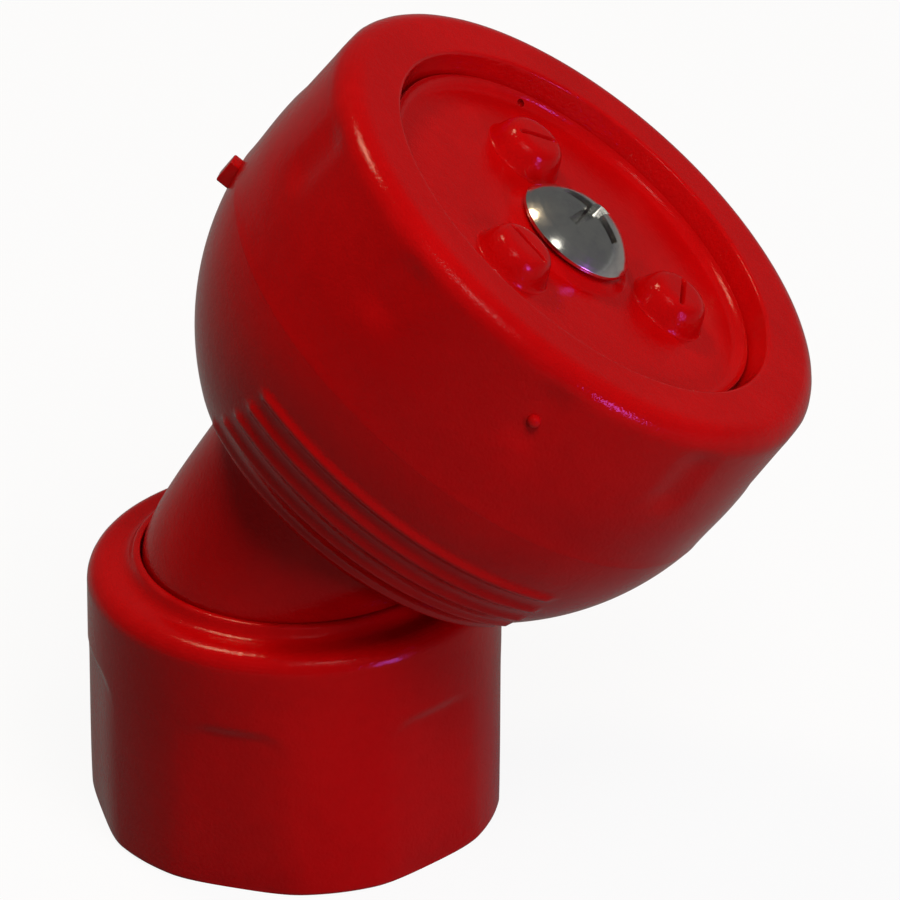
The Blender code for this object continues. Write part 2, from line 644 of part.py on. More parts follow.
# Seat, padded plug that the screw hangs from the plate, and the spoked guide for its square stem
def make_throttle():
    turned("seat_ring", flat_ring(SEAT_BORE, SEAT_RADIUS, seat_low, seat_top), yellow_brass, frame=head_frame)
    pad = [(0.0, pad_high), (PAD_RADIUS, pad_high), (PAD_RADIUS, pad_low), (0.0, pad_low)]
    turned("plug_pad", pad, black_rubber, ring=False, frame=head_frame)
    disc = [(0.0, plug_high), (PLUG_RADIUS, plug_high), (PLUG_RADIUS, plug_low), (0.0, plug_low)]
    plug = turned("throttle_plug", disc, white_plastic, ring=False, frame=head_frame)
    length = stem_high - plug_high + BITE
    stem = ((STEM_SIDE, STEM_SIDE, length), (0.0, 0.0, stem_high - length / 2), 0.0)
    combine(plug, blocks("plug_stem", [stem], frame=head_frame), "UNION")
    thread = SCREW_RADIUS + GAP
    floor = screw_tip - STEM_FLOOR
    above = stem_high + STOP_CLEAR
    bore = [(0.0, above), (thread, above), (thread, floor), (0.0, floor)]
    combine(plug, turned("stem_bore", bore, ring=False, steps=PLAIN, frame=head_frame), "DIFFERENCE")
    outer = chamber_radius - GAP
    spider = turned("spider_guide", flat_ring(outer - SPIDER_RING, outer, hub_low, hub_low + SPIDER_THICK),
                    white_plastic, frame=head_frame)
    hub = [(0.0, hub_high), (HUB_RADIUS, hub_high)]
    hub += [(HUB_RADIUS, hub_low + GAP / 2), (0.0, hub_low + GAP / 2)]
    combine(spider, turned("spider_hub", hub, ring=False, frame=head_frame), "UNION")
    reach = outer - SPIDER_RING / 2
    start = HUB_RADIUS - SPOKE_ROOT
    middle = hub_low + SPIDER_THICK / 2
    size = (reach - start, SPOKE_WIDTH, SPIDER_THICK - GAP)
    spokes = []
    for i in range(SPOKE_COUNT):
        spokes.append((size, ((reach + start) / 2, 0.0, middle), math.tau * i / SPOKE_COUNT))
    combine(spider, blocks("spider_spokes", spokes, frame=head_frame), "UNION")
    side = STEM_SIDE + 2 * SLIDE_CLEAR
    depth = hub_high - hub_low + 2 * CUT_PAST
    window = ((side, side, depth), (0.0, 0.0, (hub_high + hub_low) / 2), 0.0)
    combine(spider, blocks("stem_window", [window], frame=head_frame), "DIFFERENCE")


make_nut()
make_nut_rings()
make_strainer()
make_elbow()
make_cap()
make_plate()
make_screw()
make_throttle()

print("nut height %.2f mm" % (nut_height * 1000))
print("ball centre %.2f mm up the head axis from the bend" % (head_reach * 1000))
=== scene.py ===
import json
import math

import bmesh
import bpy
from mathutils import Matrix, Vector


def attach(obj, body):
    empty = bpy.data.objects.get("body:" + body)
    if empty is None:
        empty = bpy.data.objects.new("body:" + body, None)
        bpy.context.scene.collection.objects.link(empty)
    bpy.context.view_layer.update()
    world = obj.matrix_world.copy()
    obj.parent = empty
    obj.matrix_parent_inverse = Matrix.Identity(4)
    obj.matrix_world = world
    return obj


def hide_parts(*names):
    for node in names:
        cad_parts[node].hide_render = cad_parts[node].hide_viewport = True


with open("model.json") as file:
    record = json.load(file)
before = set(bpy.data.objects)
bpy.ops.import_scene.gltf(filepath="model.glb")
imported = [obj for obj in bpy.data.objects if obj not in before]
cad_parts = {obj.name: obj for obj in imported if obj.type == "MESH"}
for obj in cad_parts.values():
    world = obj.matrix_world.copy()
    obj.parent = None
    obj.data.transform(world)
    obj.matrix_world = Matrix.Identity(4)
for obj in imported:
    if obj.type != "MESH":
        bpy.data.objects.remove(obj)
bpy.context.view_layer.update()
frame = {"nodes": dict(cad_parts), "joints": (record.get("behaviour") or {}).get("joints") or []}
scene = bpy.context.scene
scene.view_settings.view_transform = "Standard"
mm = 0.001

# the head's own frame, in millimetres: +Z from the ball's centre to the face
capJoint = next(joint for joint in frame["joints"] if joint["name"] == "cap_turn")
headAxis = Vector(capJoint["axis"]).normalized()
ballCentre = Vector(capJoint["pos_m"])
headTilt = math.atan2(headAxis.x, headAxis.z)
headPlace = Matrix.Translation(ballCentre / mm) @ Matrix.Rotation(headTilt, 4, "Y")
print("frame loaded, head leans %.1f degrees" % math.degrees(headTilt))

meshing = dict(cornerStep=0.2, cornerTurns=3, merge=0.0005, crease=38, bevelSteps=4, ballSteps=4,
               shortest=1e-6, narrowest=0.05)


def smoothStep(low, high, x):
    t = min(max((x - low) / (high - low), 0.0), 1.0)
    return t * t * (3 - 2 * t)


def softMin(a, b, blend):
    t = max(blend - abs(a - b), 0.0) / blend
    return min(a, b) - t * t * blend / 4


# angle round an axis from -Y towards +X, as the maker's drawing counts it
def facing(x, y):
    return math.atan2(x, -y)


# the point at such an angle
def around(angle, circle, height=0):
    return circle * math.sin(angle), -circle * math.cos(angle), height


def offsetFrom(angle, start, pitch):
    return (angle - start + pitch / 2) % pitch - pitch / 2


def arcRows(centreR, centreZ, radius, first, last, step):
    turns = max(2, math.ceil(abs(last - first) * radius / step))
    rows = []
    for i in range(turns + 1):
        a = first + (last - first) * i / turns
        rows.append((centreR + radius * math.cos(a), centreZ + radius * math.sin(a)))
    return rows


# corner rows (radius, height, round) become points, with the rounds as arcs
def outline(corners):
    points = []
    for i, (r, z, bend) in enumerate(corners):
        here = Vector((r, z))
        if bend == 0:
            points.append((r, z))
            continue
        back = (Vector(corners[i - 1][:2]) - here).normalized()
        ahead = (Vector(corners[(i + 1) % len(corners)][:2]) - here).normalized()
        half = back.angle(ahead) / 2
        centre = here + (back + ahead).normalized() * bend / math.sin(half)
        start = here + back * bend / math.tan(half) - centre
        sweep = math.pi - 2 * half
        side = -1 if back.x * ahead.y > back.y * ahead.x else 1
        turns = max(meshing["cornerTurns"], math.ceil(sweep / meshing["cornerStep"]))
        for k in range(turns + 1):
            spoke = Matrix.Rotation(side * sweep * k / turns, 2) @ start
            points.append(tuple(centre + spoke))
    return points


# no stretch of the rows stays longer than step
def dense(rows, step):
    made = [rows[0]]
    for a, b in zip(rows, rows[1:]):
        parts = max(1, math.ceil(math.dist(a, b) / step))
        for k in range(1, parts + 1):
            made.append((a[0] + (b[0] - a[0]) * k / parts, a[1] + (b[1] - a[1]) * k / parts))
    return made


# the same for rows that close on themselves
def denseRing(rows, step):
    return dense(rows + rows[:1], step)[:-1]


def turnRows(rows, steps, closed=True):
    bm = bmesh.new()
    verts = [bm.verts.new((r, 0, z)) for r, z in rows]
    edges = [bm.edges.new(pair) for pair in zip(verts, verts[1:])]
    if closed:
        edges.append(bm.edges.new((verts[-1], verts[0])))
    bmesh.ops.spin(bm, geom=verts + edges, axis=(0, 0, 1), cent=(0, 0, 0), angle=math.tau, steps=steps,
                   use_merge=True)
    bmesh.ops.remove_doubles(bm, verts=bm.verts, dist=meshing["merge"])
    bmesh.ops.recalc_face_normals(bm, faces=bm.faces)
    return bm


# moves a point straight towards the axis
def pullIn(vert, depth):
    scale = 1 - depth / math.hypot(vert.co.x, vert.co.y)
    vert.co.x *= scale
    vert.co.y *= scale


def roundEdges(bm, edges, offset):
    bmesh.ops.bevel(bm, geom=edges, offset=offset, segments=meshing["bevelSteps"], profile=0.5,
                    affect="EDGES", material=-1)


def turnTool(bm, angle):
    bmesh.ops.rotate(bm, cent=(0, 0, 0), matrix=Matrix.Rotation(angle, 3, "Z"), verts=bm.verts)


def combine(bm, tool, operation):
    pair = []
    for part in (bm, tool):
        mesh = bpy.data.meshes.new("work")
        part.to_mesh(mesh)
        part.free()
        obj = bpy.data.objects.new("work", mesh)
        scene.collection.objects.link(obj)
        pair.append(obj)
    mod = pair[0].modifiers.new("work", "BOOLEAN")
    mod.operation = operation
    mod.object = pair[1]
    mod.solver = "MANIFOLD"
    made = bmesh.new()
    made.from_object(pair[0], bpy.context.evaluated_depsgraph_get())
    for obj in pair:
        mesh = obj.data
        bpy.data.objects.remove(obj)
        bpy.data.meshes.remove(mesh)
    return made


# how sharply the surface turns outwards, for wear and a painted sheen on its edges
def markEdges(bm):
    layer = bm.verts.layers.float.new("edge")
    for edge in bm.edges:
        if len(edge.link_faces) != 2:
            continue
        turn = edge.calc_face_angle_signed(0.0)
        area = sum(face.calc_area() for face in edge.link_faces)
        across = area / max(edge.calc_length(), meshing["shortest"]) / 2
        sharp = turn / max(across, meshing["narrowest"])
        for vert in edge.verts:
            vert[layer] = max(vert[layer], sharp)


def finishPiece(bm, name, body, nodes, finish, place=None, crease=meshing["crease"]):
    markEdges(bm)
    bmesh.ops.transform(bm, matrix=Matrix.Scale(mm, 4) @ (place or Matrix()), verts=bm.verts)
    mesh = bpy.data.meshes.new(name)
    bm.to_mesh(mesh)
    bm.free()
    mesh.shade_smooth()
    mesh.set_sharp_from_angle(angle=math.radians(crease))
    mesh.materials.append(finish.material)
    obj = bpy.data.objects.new(name, mesh)
    scene.collection.objects.link(obj)
    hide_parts(*nodes)
    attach(obj, body)
    print("made %s, %d faces" % (name, len(mesh.polygons)))


# a shader value: sums on it add Math nodes
class Value:
    def __init__(self, tree, socket):
        self.tree = tree
        self.socket = socket

    def math(self, kind, *values):
        node = self.tree.nodes.new("ShaderNodeMath")
        node.operation = kind
        for i, value in enumerate(values):
            if isinstance(value, Value):
                self.tree.links.new(value.socket, node.inputs[i])
            else:
                node.inputs[i].default_value = value
        return Value(self.tree, node.outputs[0])

    def __add__(self, other):
        return self.math("ADD", self, other)

    def __sub__(self, other):
        return self.math("SUBTRACT", self, other)

    def __rsub__(self, other):
        return self.math("SUBTRACT", other, self)

    def __mul__(self, other):
        return self.math("MULTIPLY", self, other)

    def __pow__(self, other):
        return self.math("POWER", self, other)

    def clamp(self, low, high):
        return self.math("MINIMUM", self.math("MAXIMUM", self, low), high)

    def step(self, low, high):
        t = ((self - low) * (1 / (high - low))).clamp(0, 1)
        return t * t * (3 - t * 2)

    __radd__ = __add__
    __rmul__ = __mul__


# a node tree, and the ways of adding to it
class Shader:
    def __init__(self, tree):
        self.tree = tree
        self.tree.nodes.clear()

    # settings are set first, then the sockets by name or identifier
    def node(self, kind, settings=None, sockets=None, out=None):
        node = self.tree.nodes.new(kind)
        for key, setting in (settings or {}).items():
            setattr(node, key, setting)
        for key, value in (sockets or {}).items():
            socket = next(s for s in node.inputs if key in (s.identifier, s.name) and s.enabled)
            if isinstance(value, Value):
                self.tree.links.new(value.socket, socket)
            elif socket.type == "RGBA":
                socket.default_value = (*value, 1)
            else:
                socket.default_value = value
        if not node.outputs:
            return None
        chosen = (s for s in node.outputs if s.enabled and out in (None, s.name, s.identifier))
        return Value(self.tree, next(chosen))

    def place(self):
        return self.node("ShaderNodeTexCoord", out="Object")

    def noise(self, place, scale, detail=2, rough=0.5, twist=0):
        return self.node("ShaderNodeTexNoise", None, {"Vector": place, "Scale": scale, "Detail": detail,
                                                      "Roughness": rough, "Distortion": twist}, "Fac")

    # turning marks round the head axis
    def rings(self, place, scale, climb):
        turned = self.node("ShaderNodeMapping", {"vector_type": "TEXTURE"},
                           {"Vector": place, "Location": ballCentre, "Rotation": (0, headTilt, 0)})
        across, along, up = self.parts(turned)
        radius = (across * across + along * along) ** 0.5
        return self.node("ShaderNodeTexNoise", {"noise_dimensions": "1D"},
                         {"W": radius + up * climb, "Scale": scale, "Detail": 2}, "Fac")

    def blend(self, amount, first, second):
        return self.node("ShaderNodeMix", {"data_type": "RGBA"},
                         {"Factor_Float": amount, "A_Color": first, "B_Color": second}, "Result_Color")

    def parts(self, vector):
        split = self.node("ShaderNodeSeparateXYZ", None, {"Vector": vector})
        return [Value(self.tree, s) for s in split.socket.node.outputs]

    def edge(self):
        return self.node("ShaderNodeAttribute", {"attribute_name": "edge"}, None, "Fac")

    def bump(self, height, strength, depth):
        return self.node("ShaderNodeBump", None, {"Height": height, "Strength": strength, "Distance": depth})

    # camera, mirror and see-through rays
    def rays(self):
        path = self.node("ShaderNodeLightPath").socket.node.outputs
        return [Value(self.tree, path["Is %s Ray" % kind]) for kind in ("Camera", "Glossy", "Transmission")]


class Finish(Shader):
    def __init__(self, name, slot=None):
        self.slot = slot
        self.material = bpy.data.materials.new(name)
        self.material.use_nodes = True
        super().__init__(self.material.node_tree)

    def shade(self, sockets):
        skin = self.node("ShaderNodeBsdfPrincipled", None, sockets)
        self.node("ShaderNodeOutputMaterial", None, {"Surface": skin})
        return self


# the worn colour is lighter: partly edge wear, partly a painted sheen along the edges
redLook = dict(deep=(0.50, 0.0010, 0.0016), bright=(0.60, 0.0016, 0.0022), wornAndSheen=(0.62, 0.010, 0.011),
               rough=0.13, specular=0.15, flowScale=70, flowTwist=0.6, flowShare=0.75, flowRough=0.06,
               mottleScale=900, mottleRough=0.08, grainScale=3600, grainShare=0.6, grainStrength=0.95,
               grainDepth=0.00005, toneRange=(0.3, 0.72), edgeRange=(0.25, 1.6), wearAndSheenScale=420,
               wearAndSheenRange=(0.35, 0.75), wearAndSheenShare=0.35, rubRough=0.03, roughRange=(0.08, 0.4))


# glossy moulded plastic: slow colour flow, faint mottle, fine mould grain, rubbed edges painted lighter as
# wear and as a painted sheen
def makeRed():
    look = redLook
    red = Finish("redPlastic", "red_plastic")
    place = red.place()
    flow = red.noise(place, look["flowScale"], 3, 0.5, look["flowTwist"])
    mottle = red.noise(place, look["mottleScale"], 3)
    grain = red.noise(place, look["grainScale"], 2)
    wearAndSheenPatch = red.noise(place, look["wearAndSheenScale"], 3)
    # convex edges are painted lighter in patches: partly wear, partly a painted sheen standing in for edge
    # highlights
    wearAndSheen = red.edge().step(*look["edgeRange"]) * wearAndSheenPatch.step(*look["wearAndSheenRange"])
    tone = (flow * look["flowShare"] + mottle * (1 - look["flowShare"])).step(*look["toneRange"])
    shade = red.blend(tone, look["deep"], look["bright"])
    shade = red.blend(wearAndSheen * look["wearAndSheenShare"], shade, look["wornAndSheen"])
    rough = look["rough"] + (mottle - 0.5) * look["mottleRough"] + (flow - 0.5) * look["flowRough"]
    rough = (rough - wearAndSheen * look["rubRough"]).clamp(*look["roughRange"])
    relief = grain * look["grainShare"] + mottle * (1 - look["grainShare"])
    skin = red.bump(relief, look["grainStrength"], look["grainDepth"])
    return red.shade({"Base Color": shade, "Roughness": rough, "Normal": skin,
                      "Specular IOR Level": look["specular"]})


steelLook = dict(base=(0.80, 0.80, 0.75), dark=(0.55, 0.56, 0.57), rough=0.17, ringScale=5200, ringClimb=0.2,
                 ringShade=0.2, ringRough=0.12, ringShare=0.6, smearScale=700, smearRange=(0.35, 0.75),
                 smearShade=0.6, dullRange=(0.5, 0.75), dullRough=0.10, pitScale=3800, strength=0.10,
                 depth=0.00004, roughRange=(0.08, 0.5))


# polished steel with turning marks round the head axis
def makeSteel():
    look = steelLook
    steel = Finish("brightSteel", "bright_steel")
    place = steel.place()
    rings = steel.rings(place, look["ringScale"], look["ringClimb"])
    smear = steel.noise(place, look["smearScale"], 4, 0.6)
    pits = steel.noise(place, look["pitScale"], 2)
    dark = smear.step(*look["smearRange"]) * look["smearShade"] + rings * look["ringShade"]
    shade = steel.blend(dark, look["base"], look["dark"])
    rough = look["rough"] + (rings - 0.5) * look["ringRough"]
    rough = rough + smear.step(*look["dullRange"]) * look["dullRough"]
    relief = rings * look["ringShare"] + pits * (1 - look["ringShare"])
    skin = steel.bump(relief, look["strength"], look["depth"])
    return steel.shade({"Base Color": shade, "Metallic": 1.0, "Roughness": rough.clamp(*look["roughRange"]),
                        "Normal": skin})


rubberLook = dict(base=(0.018, 0.018, 0.019), dusty=(0.06, 0.058, 0.055), dustScale=260, dustRange=(0.4, 0.8),
                  dustShare=0.7, dustRelief=0.5, grainScale=6000, strength=0.25, depth=0.00006, rough=0.58,
                  dustRough=0.25, specular=0.35)


def makeRubber():
    look = rubberLook
    rubber = Finish("blackRubber", "black_rubber")
    place = rubber.place()
    dust = rubber.noise(place, look["dustScale"], 4, 0.6)
    grain = rubber.noise(place, look["grainScale"], 2)
    shade = rubber.blend(dust.step(*look["dustRange"]) * look["dustShare"], look["base"], look["dusty"])
    skin = rubber.bump(grain + dust * look["dustRelief"], look["strength"], look["depth"])
    return rubber.shade({"Base Color": shade, "Roughness": look["rough"] + dust * look["dustRough"],
                         "Normal": skin, "Specular IOR Level": look["specular"]})


whiteLook = dict(base=(0.76, 0.75, 0.70), shaded=(0.62, 0.60, 0.54), flowScale=160, flowTwist=0.4,
                 flowRange=(0.35, 0.8), flowShare=0.6, flowRelief=0.4, grainScale=4200, strength=0.15,
                 depth=0.00005, rough=0.40, flowRough=0.15)


def makeWhite():
    look = whiteLook
    white = Finish("whitePlastic", "white_plastic")
    place = white.place()
    flow = white.noise(place, look["flowScale"], 3, 0.5, look["flowTwist"])
    grain = white.noise(place, look["grainScale"], 2)
    shade = white.blend(flow.step(*look["flowRange"]) * look["flowShare"], look["base"], look["shaded"])
    skin = white.bump(grain + flow * look["flowRelief"], look["strength"], look["depth"])
    return white.shade({"Base Color": shade, "Roughness": look["rough"] + flow * look["flowRough"],
                        "Normal": skin})


brassLook = dict(base=(0.72, 0.50, 0.20), dull=(0.45, 0.30, 0.12), ringScale=4200, ringClimb=1.0,
                 ringRough=0.1, tarnishScale=380, tarnishRange=(0.4, 0.75), tarnishRough=0.2, rough=0.24,
                 strength=0.15, depth=0.00005)


def makeBrass():
    look = brassLook
    brass = Finish("yellowBrass", "yellow_brass")
    place = brass.place()
    rings = brass.rings(place, look["ringScale"], look["ringClimb"])
    tarnish = brass.noise(place, look["tarnishScale"], 4, 0.6)
    shade = brass.blend(tarnish.step(*look["tarnishRange"]), look["base"], look["dull"])
    rough = look["rough"] + tarnish * look["tarnishRough"] + (rings - 0.5) * look["ringRough"]
    skin = brass.bump(rings, look["strength"], look["depth"])
    return brass.shade({"Base Color": shade, "Metallic": 1.0, "Roughness": rough, "Normal": skin})


redPlastic = makeRed()
brightSteel = makeSteel()
blackRubber = makeRubber()
whitePlastic = makeWhite()
yellowBrass = makeBrass()
print("finishes made")


nut = dict(radius=16.5, height=21.47, edgeRound=1.6, footRound=0.4, mouthRound=0.15, hole=12.45,
           shoulder=16.07, shoulderRound=0.2, relief=13.4, reliefStart=10.07,
           threadRoot=13.22, threadDepth=1.16, threadPitch=1.814, threadStart=0.5, threadEnd=9.57,
           threadRise=(0.5, 1.6), threadFall=(9.5, 8.2), threadLow=0.3, threadOver=0.2, threadGap=0.1,
           threadCrest=0.8,
           flats=6, flatPhase=-10.3, flatTop=0.42, flatFoot=0.70, flatHeight=14.5, flatWidth=11.1,
           flatCorner=3.8, flatSoft=1.2, flatBlend=0.5, flatFlare=5, flatWall=0.5, flatOver=1,
           beadBore=12.2, beadBoreRound=0.12, bead=12.75, beadTop=22.5, beadFoot=0.6, beadRound=0.4,
           beadFillet=1.0, beadDrop=0.9, rowStep=0.28, spinSteps=300)


# coupling nut: leaning flats with rounded upper corners outside, a pipe thread inside
def makeNut():
    n = nut
    foot = n["bead"] + n["beadFoot"]
    corners = [(n["beadBore"], n["beadTop"], n["beadBoreRound"]), (n["bead"], n["beadTop"], n["beadRound"])]
    corners += [(foot, n["height"], n["beadFillet"]), (n["radius"], n["height"], n["edgeRound"])]
    corners += [(n["radius"], 0, n["footRound"])]
    corners += [(n["threadRoot"] + n["threadStart"], 0, n["mouthRound"])]
    corners += [(n["threadRoot"], n["threadStart"], 0), (n["threadRoot"], n["threadEnd"], 0)]
    corners += [(n["relief"], n["reliefStart"], 0), (n["relief"], n["shoulder"], n["shoulderRound"])]
    corners += [(n["hole"], n["shoulder"], n["shoulderRound"]), (n["hole"], n["beadTop"] - n["beadDrop"], 0)]
    bm = turnRows(denseRing(outline(corners), n["rowStep"]), n["spinSteps"])
    pitch = math.tau / n["flats"]
    half = n["flatWidth"] / 2 - n["flatCorner"]
    low = n["threadLow"]
    high = n["threadEnd"] + n["threadOver"]
    for v in bm.verts:
        r = math.hypot(v.co.x, v.co.y)
        z = v.co.z
        if r > n["relief"] + n["flatWall"] and z < n["flatHeight"] + n["flatOver"]:
            off = offsetFrom(facing(v.co.x, v.co.y), math.radians(n["flatPhase"]), pitch)
            lean = (n["flatFoot"] - n["flatTop"]) * max(1 - z / n["flatHeight"], 0) ** n["flatFlare"]
            plane = (n["radius"] - n["flatTop"] - lean) / math.cos(off)
            side = max(abs(plane * math.sin(off)) - half, 0)
            top = max(z - n["flatHeight"] + n["flatCorner"], 0)
            inside = n["flatCorner"] - math.hypot(side, top)
            cut = r - softMin(r, plane, n["flatBlend"])
            pullIn(v, cut * smoothStep(-n["flatSoft"] / 2, n["flatSoft"] / 2, inside))
        elif r < n["relief"] - n["threadGap"] and low < z < high:
            turn = z / n["threadPitch"] - facing(v.co.x, v.co.y) / math.tau
            ridge = 0.5 - 0.5 * math.cos(turn * math.tau)
            ends = smoothStep(*n["threadRise"], z) * smoothStep(*n["threadFall"], z)
            pullIn(v, n["threadDepth"] * ridge ** n["threadCrest"] * ends)
    finishPiece(bm, "collarNut", "nut", ["collar_nut"], redPlastic)


elbow = dict(ball=23.4, seam=-2.6, floorRadius=15.75, floorEdge=0.6, floorWall=2.8,
             neckTop=11.95, neckRoot=0.5, neckFoot=12.1, neckLow=13.27, neckShoulder=21.97, neckRound=0.15,
             pull=0.5, bendLength=8.0, ringGroove=(13.77, 15.17, 0.9), sealGroove=(17.90, 19.64, 1.4),
             spigot=20.3, rim=5.0, rimRound=0.3, chamber=17.5, chamberRound=0.2, ledge=-3.706, lower=16.6,
             coneTop=-9.57, coneFoot=10.5, seatPocket=9.9, pocketDepth=2.4, outlet=7.5, inlet=8.0,
             strainerPocket=9.6, strainerStep=14.87,
             ribs=5, ribFirst=-7.9, ribPitch=2.05, ribHeight=0.32, ribWidth=1.1, ribSharp=2.6, ribSpan=13.9,
             ribFade=(0.25, 0.35), ribClear=0.2, threadRidge=0.3, threadLead=3.0, threadRise=(-2, -1.2),
             threadFall=(4.6, 3.8), ballTouch=0.05, wallTouch=0.02, bendTouch=1e-4,
             tabWidth=1.6, tabTop=-2.8, tabLength=2.1, tabHeight=0.6, tabSunk=2, tabRound=0.15, tabPhase=-96,
             neckStep=0.45, edgeStep=0.12, ballStep=0.17, innerStep=0.9, spinSteps=288)


# rows of the cup and its still straight neck, from the neck's mouth outside and back inside
def elbowRows(drop, bendEnd):
    e = elbow

    def foot(z):
        return bendEnd + z - e["neckShoulder"]

    low, high, depth = e["ringGroove"]
    sealLow, sealHigh, sealDepth = e["sealGroove"]
    neck = e["neckFoot"]
    corners = [(e["strainerPocket"], foot(e["neckLow"]), 0), (neck, foot(e["neckLow"]), e["neckRound"])]
    corners += [(neck, foot(low), 0), (neck - depth, foot(low), 0)]
    corners += [(neck - depth, foot(high), 0), (neck, foot(high), 0)]
    corners += [(neck, foot(sealLow), 0), (neck - sealDepth, foot(sealLow), 0)]
    corners += [(neck - sealDepth, foot(sealHigh), 0), (neck, foot(sealHigh), 0), (neck, bendEnd, 0)]
    corners += [(e["neckTop"], -drop, e["neckRoot"])]
    edge = e["floorEdge"]
    edgeR = math.sqrt((e["ball"] - edge) ** 2 - (drop - edge) ** 2)
    start = math.atan2(edge - drop, edgeR)
    outside = dense(outline(corners + [(edgeR, -drop, 0)]), e["neckStep"])
    outside += arcRows(edgeR, edge - drop, edge, -math.pi / 2, start, e["edgeStep"])[1:]
    outside += arcRows(0, 0, e["ball"], start, math.asin(e["seam"] / e["ball"]), e["ballStep"])[1:]
    cupFloor = e["floorWall"] - drop
    inside = [(e["spigot"], e["seam"], 0), (e["spigot"], e["rim"], e["rimRound"])]
    inside += [(e["chamber"], e["rim"], e["chamberRound"]), (e["chamber"], e["ledge"], 0)]
    inside += [(e["lower"], e["ledge"], 0), (e["lower"], e["coneTop"], 0)]
    inside += [(e["coneFoot"], cupFloor, 0), (e["seatPocket"], cupFloor, 0)]
    pocketFloor = cupFloor - e["pocketDepth"]
    inside += [(e["seatPocket"], pocketFloor, 0), (e["outlet"], pocketFloor, 0)]
    inside += [(e["outlet"], -drop, 0), (e["inlet"], bendEnd, 0), (e["inlet"], foot(e["strainerStep"]), 0)]
    inside += [(e["strainerPocket"], foot(e["strainerStep"]), 0)]
    return outside + dense(outline(inside), e["innerStep"])


def makeTab():
    e = elbow
    tab = bmesh.new()
    bmesh.ops.create_cube(tab, size=1)
    deep = e["tabHeight"] + e["tabSunk"]
    out = deep / 2 - e["ball"] - e["tabHeight"]
    bmesh.ops.scale(tab, vec=(deep, e["tabWidth"], e["tabLength"]), verts=tab.verts)
    bmesh.ops.translate(tab, vec=(out, 0, e["tabTop"] - e["tabLength"] / 2), verts=tab.verts)
    roundEdges(tab, tab.edges[:], e["tabRound"])
    turnTool(tab, math.radians(e["tabPhase"] + 90))
    return tab


# the cup is turned about the head axis, then its straight neck is bent down into the nut
def makeElbow():
    e = elbow
    drop = math.sqrt(e["ball"] ** 2 - e["floorRadius"] ** 2)
    bendEnd = -drop - e["bendLength"]
    bm = turnRows(elbowRows(drop, bendEnd), e["spinSteps"])
    threadLow = e["threadRise"][0]
    threadHigh = e["threadFall"][0]
    fadeOut, fadeIn = e["ribFade"]
    for v in bm.verts:
        x, y, s = v.co
        r = math.hypot(x, y)
        reach = v.co.length
        if reach > e["ball"] - e["ballTouch"] and s < e["seam"] - e["ribClear"]:
            near = offsetFrom(s, e["ribFirst"], e["ribPitch"])
            order = (e["ribFirst"] - s + near) / e["ribPitch"]
            if -0.5 < order < e["ribs"] - 0.5:
                crest = math.exp(-(e["ribSharp"] * near / e["ribWidth"]) ** 2)
                ends = smoothStep(e["ribSpan"] + fadeOut, e["ribSpan"] - fadeIn, abs(x))
                v.co *= 1 + e["ribHeight"] * crest * ends / reach
        elif abs(r - e["spigot"]) < e["wallTouch"] and threadLow < s < threadHigh:
            turn = s / e["threadLead"] - facing(x, y) / math.tau
            ends = smoothStep(*e["threadRise"], s) * smoothStep(*e["threadFall"], s)
            pullIn(v, -e["threadRidge"] * max(0, math.cos(turn * math.tau)) ** 2 * ends)
    bm = combine(bm, makeTab(), "UNION")
    down = headPlace.inverted()
    for v in bm.verts:
        x, y, s = v.co
        if s >= -drop - e["bendTouch"] or math.hypot(x, y) > e["floorRadius"]:
            continue
        lower = down @ Vector((x, y, e["neckShoulder"] + min(s - bendEnd, 0)))
        upper = Vector((x, y, -drop))
        t = min((-drop - s) / e["bendLength"], 1)
        chord = lower - upper
        if t == 1:
            v.co = lower
            continue
        lift = down.to_3x3() @ Vector((0, 0, e["pull"] * chord.length))
        v.co = upper + chord * (t + t ** 2 - t ** 3) + lift * (t ** 2 - t ** 3)
    finishPiece(bm, "elbowBody", "elbow", ["elbow_body"], redPlastic, headPlace)


cap = dict(radius=23.5, topRadius=23.1, low=-2.59, lowRound=0.02, top=12.0, rimRound=2.0, bore=20.75,
           boreRound=0.2, lipLow=9.38, lipInner=17.22, lipInnerRound=0.12, lip=17.9, lipRound=0.35,
           skinWall=0.4, flutes=10, flutePhase=5.0, fluteHalf=2.9, fluteDepth=0.30, fluteLow=3.2,
           fluteHigh=11.2, fluteEnd=2.6, pip=0.55, pipRise=6.6, tuck=0.23, tuckTop=2.5, rowStep=0.3,
           spinSteps=480)


